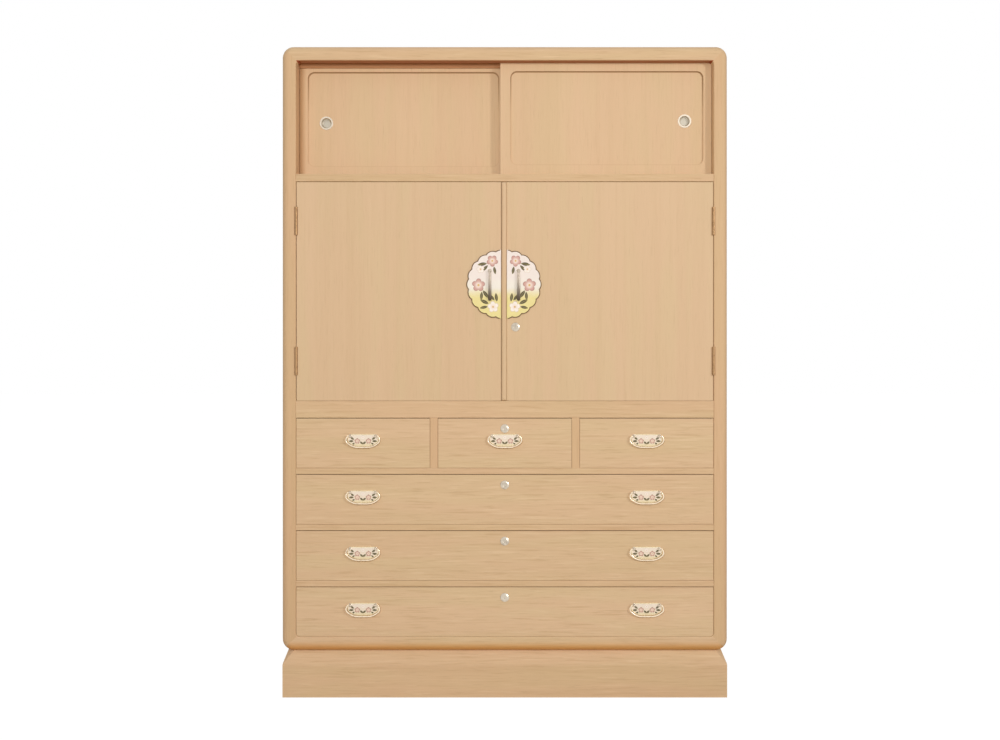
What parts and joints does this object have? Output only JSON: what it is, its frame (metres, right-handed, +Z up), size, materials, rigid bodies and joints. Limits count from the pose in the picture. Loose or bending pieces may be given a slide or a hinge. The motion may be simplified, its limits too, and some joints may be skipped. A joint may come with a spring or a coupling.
{
  "type": "isho clothing chest",
  "caption": "Paulownia kimono chest with sliding doors above, hinged doors over clothes trays, lockable drawers with bail handles below, and a bevelled plinth.",
  "frame": {"origin": "centre of the plan at the floor, under the plinth", "axes": "+X to the viewer's right, +Y towards the back, +Z up; the doors and drawers face -Y"},
  "size_m": [1.068, 0.4532, 1.56],
  "materials": {
    "paulownia_case": "satin",
    "paulownia_doors": "satin",
    "paulownia_fronts": "satin",
    "paulownia_inner": "matt",
    "painted_plate": "gloss",
    "silver_metal": "polished",
    "hinge_brass": "satin"
  },
  "bodies": {
    "chest": {"top_board": "paulownia_case", "bottom_board": "paulownia_case", "left_side": "paulownia_case", "right_side": "paulownia_case", "plinth_front": "paulownia_case", "plinth_sides": "paulownia_case", "drawer_shelves": "paulownia_case", "middle_shelf": "paulownia_case", "upper_shelf": "paulownia_case", "drawer_partitions": "paulownia_case", "back_panel": "paulownia_inner", "plinth_back": "paulownia_inner", "upper_track": "paulownia_inner", "tray_runners": "paulownia_inner", "case_hinge_leaves": "hinge_brass"},
    "left_door": {"left_door": "paulownia_doors", "left_door_hinge_leaves": "hinge_brass", "left_door_plate": "painted_plate"},
    "right_door": {"right_door": "paulownia_doors", "right_door_hinge_leaves": "hinge_brass", "right_door_plate": "painted_plate", "meeting_bead": "paulownia_doors", "door_lock_case": "silver_metal"},
    "left_door_pull": {"left_door_pull": "silver_metal"},
    "right_door_pull": {"right_door_pull": "silver_metal"},
    "door_lock_plug": {"door_lock_plug": "silver_metal"},
    "left_sliding_door": {"left_sliding_door": "paulownia_doors", "left_finger_cup": "silver_metal"},
    "right_sliding_door": {"right_sliding_door": "paulownia_doors", "right_finger_cup": "silver_metal"},
    "lower_drawer": {"lower_drawer": "paulownia_fronts", "lower_drawer_fittings": "painted_plate"},
    "lower_drawer_left_bail": {"lower_drawer_left_bail": "silver_metal"},
    "lower_drawer_right_bail": {"lower_drawer_right_bail": "silver_metal"},
    "lower_drawer_lock_plug": {"lower_drawer_lock_plug": "silver_metal"},
    "middle_drawer": {"middle_drawer": "paulownia_fronts", "middle_drawer_fittings": "painted_plate"},
    "middle_drawer_left_bail": {"middle_drawer_left_bail": "silver_metal"},
    "middle_drawer_right_bail": {"middle_drawer_right_bail": "silver_metal"},
    "middle_drawer_lock_plug": {"middle_drawer_lock_plug": "silver_metal"},
    "upper_drawer": {"upper_drawer": "paulownia_fronts", "upper_drawer_fittings": "painted_plate"},
    "upper_drawer_left_bail": {"upper_drawer_left_bail": "silver_metal"},
    "upper_drawer_right_bail": {"upper_drawer_right_bail": "silver_metal"},
    "upper_drawer_lock_plug": {"upper_drawer_lock_plug": "silver_metal"},
    "small_drawer_left": {"small_drawer_left": "paulownia_fronts", "small_drawer_left_fittings": "painted_plate"},
    "small_drawer_left_bail": {"small_drawer_left_bail": "silver_metal"},
    "small_drawer_centre": {"small_drawer_centre": "paulownia_fronts", "small_drawer_centre_fittings": "painted_plate"},
    "small_drawer_centre_bail": {"small_drawer_centre_bail": "silver_metal"},
    "small_drawer_centre_lock_plug": {"small_drawer_centre_lock_plug": "silver_metal"},
    "small_drawer_right": {"small_drawer_right": "paulownia_fronts", "small_drawer_right_fittings": "painted_plate"},
    "small_drawer_right_bail": {"small_drawer_right_bail": "silver_metal"},
    "kimono_tray_1": {"kimono_tray_1": "paulownia_inner"},
    "kimono_tray_2": {"kimono_tray_2": "paulownia_inner"},
    "kimono_tray_3": {"kimono_tray_3": "paulownia_inner"},
    "kimono_tray_4": {"kimono_tray_4": "paulownia_inner"},
    "kimono_tray_5": {"kimono_tray_5": "paulownia_inner"}
  },
  "joints": [
    {"name": "left_door_hinge", "type": "hinge", "parent": "chest", "child": "left_door", "pos_m": [-0.499, -0.21775, 0.972], "axis": [0, 0, -1], "range_deg": [0, 170]},
    {"name": "right_door_hinge", "type": "hinge", "parent": "chest", "child": "right_door", "pos_m": [0.499, -0.21775, 0.972], "axis": [0, 0, 1], "range_deg": [0, 170]},
    {"name": "left_pull_swing", "type": "hinge", "parent": "left_door", "child": "left_door_pull", "pos_m": [-0.036, -0.22315, 1.0205], "axis": [-1, 0, 0], "range_deg": [0, 95]},
    {"name": "right_pull_swing", "type": "hinge", "parent": "right_door", "child": "right_door_pull", "pos_m": [0.0326, -0.22315, 1.0205], "axis": [-1, 0, 0], "range_deg": [0, 95]},
    {"name": "door_lock_turn", "type": "hinge", "parent": "right_door", "child": "door_lock_plug", "pos_m": [0.0256, -0.21575, 0.8864], "axis": [0, 1, 0], "range_deg": [0, 90]},
    {"name": "left_sliding_door_slide", "type": "slide", "parent": "chest", "child": "left_sliding_door", "axis": [1, 0, 0], "range_m": [0, 0.486]},
    {"name": "right_sliding_door_slide", "type": "slide", "parent": "chest", "child": "right_sliding_door", "axis": [-1, 0, 0], "range_m": [0, 0.486]},
    {"name": "lower_drawer_slide", "type": "slide", "parent": "chest", "child": "lower_drawer", "axis": [0, -1, 0], "range_m": [0, 0.34]},
    {"name": "lower_drawer_left_bail_lift", "type": "hinge", "parent": "lower_drawer", "child": "lower_drawer_left_bail", "pos_m": [-0.3391, -0.22135, 0.2219], "axis": [-1, 0, 0], "range_deg": [0, 95]},
    {"name": "lower_drawer_right_bail_lift", "type": "hinge", "parent": "lower_drawer", "child": "lower_drawer_right_bail", "pos_m": [0.3391, -0.22135, 0.2219], "axis": [-1, 0, 0], "range_deg": [0, 95]},
    {"name": "lower_drawer_lock_plug_turn", "type": "hinge", "parent": "lower_drawer", "child": "lower_drawer_lock_plug", "pos_m": [0, -0.21575, 0.2397], "axis": [0, -1, 0], "range_deg": [0, 90]},
    {"name": "middle_drawer_slide", "type": "slide", "parent": "chest", "child": "middle_drawer", "axis": [0, -1, 0], "range_m": [0, 0.34]},
    {"name": "middle_drawer_left_bail_lift", "type": "hinge", "parent": "middle_drawer", "child": "middle_drawer_left_bail", "pos_m": [-0.3391, -0.22135, 0.3565], "axis": [-1, 0, 0], "range_deg": [0, 95]},
    {"name": "middle_drawer_right_bail_lift", "type": "hinge", "parent": "middle_drawer", "child": "middle_drawer_right_bail", "pos_m": [0.3391, -0.22135, 0.3565], "axis": [-1, 0, 0], "range_deg": [0, 95]},
    {"name": "middle_drawer_lock_plug_turn", "type": "hinge", "parent": "middle_drawer", "child": "middle_drawer_lock_plug", "pos_m": [0, -0.21575, 0.3743], "axis": [0, -1, 0], "range_deg": [0, 90]},
    {"name": "upper_drawer_slide", "type": "slide", "parent": "chest", "child": "upper_drawer", "axis": [0, -1, 0], "range_m": [0, 0.34]},
    {"name": "upper_drawer_left_bail_lift", "type": "hinge", "parent": "upper_drawer", "child": "upper_drawer_left_bail", "pos_m": [-0.3391, -0.22135, 0.4911], "axis": [-1, 0, 0], "range_deg": [0, 95]},
    {"name": "upper_drawer_right_bail_lift", "type": "hinge", "parent": "upper_drawer", "child": "upper_drawer_right_bail", "pos_m": [0.3391, -0.22135, 0.4911], "axis": [-1, 0, 0], "range_deg": [0, 95]},
    {"name": "upper_drawer_lock_plug_turn", "type": "hinge", "parent": "upper_drawer", "child": "upper_drawer_lock_plug", "pos_m": [0, -0.21575, 0.5089], "axis": [0, -1, 0], "range_deg": [0, 90]},
    {"name": "small_drawer_left_slide", "type": "slide", "parent": "chest", "child": "small_drawer_left", "axis": [0, -1, 0], "range_m": [0, 0.34]},
    {"name": "small_drawer_left_bail_lift", "type": "hinge", "parent": "small_drawer_left", "child": "small_drawer_left_bail", "pos_m": [-0.33913, -0.22135, 0.6257], "axis": [-1, 0, 0], "range_deg": [0, 95]},
    {"name": "small_drawer_centre_slide", "type": "slide", "parent": "chest", "child": "small_drawer_centre", "axis": [0, -1, 0], "range_m": [0, 0.34]},
    {"name": "small_drawer_centre_bail_lift", "type": "hinge", "parent": "small_drawer_centre", "child": "small_drawer_centre_bail", "pos_m": [0, -0.22135, 0.6257], "axis": [-1, 0, 0], "range_deg": [0, 95]},
    {"name": "small_drawer_centre_lock_plug_turn", "type": "hinge", "parent": "small_drawer_centre", "child": "small_drawer_centre_lock_plug", "pos_m": [0, -0.21575, 0.6435], "axis": [0, -1, 0], "range_deg": [0, 90]},
    {"name": "small_drawer_right_slide", "type": "slide", "parent": "chest", "child": "small_drawer_right", "axis": [0, -1, 0], "range_m": [0, 0.34]},
    {"name": "small_drawer_right_bail_lift", "type": "hinge", "parent": "small_drawer_right", "child": "small_drawer_right_bail", "pos_m": [0.33913, -0.22135, 0.6257], "axis": [-1, 0, 0], "range_deg": [0, 95]},
    {"name": "kimono_tray_1_slide", "type": "slide", "parent": "chest", "child": "kimono_tray_1", "axis": [0, -1, 0], "range_m": [0, 0.02]},
    {"name": "kimono_tray_2_slide", "type": "slide", "parent": "chest", "child": "kimono_tray_2", "axis": [0, -1, 0], "range_m": [0, 0.02]},
    {"name": "kimono_tray_3_slide", "type": "slide", "parent": "chest", "child": "kimono_tray_3", "axis": [0, -1, 0], "range_m": [0, 0.02]},
    {"name": "kimono_tray_4_slide", "type": "slide", "parent": "chest", "child": "kimono_tray_4", "axis": [0, -1, 0], "range_m": [0, 0.02]},
    {"name": "kimono_tray_5_slide", "type": "slide", "parent": "chest", "child": "kimono_tray_5", "axis": [0, -1, 0], "range_m": [0, 0.02]}
  ]
}
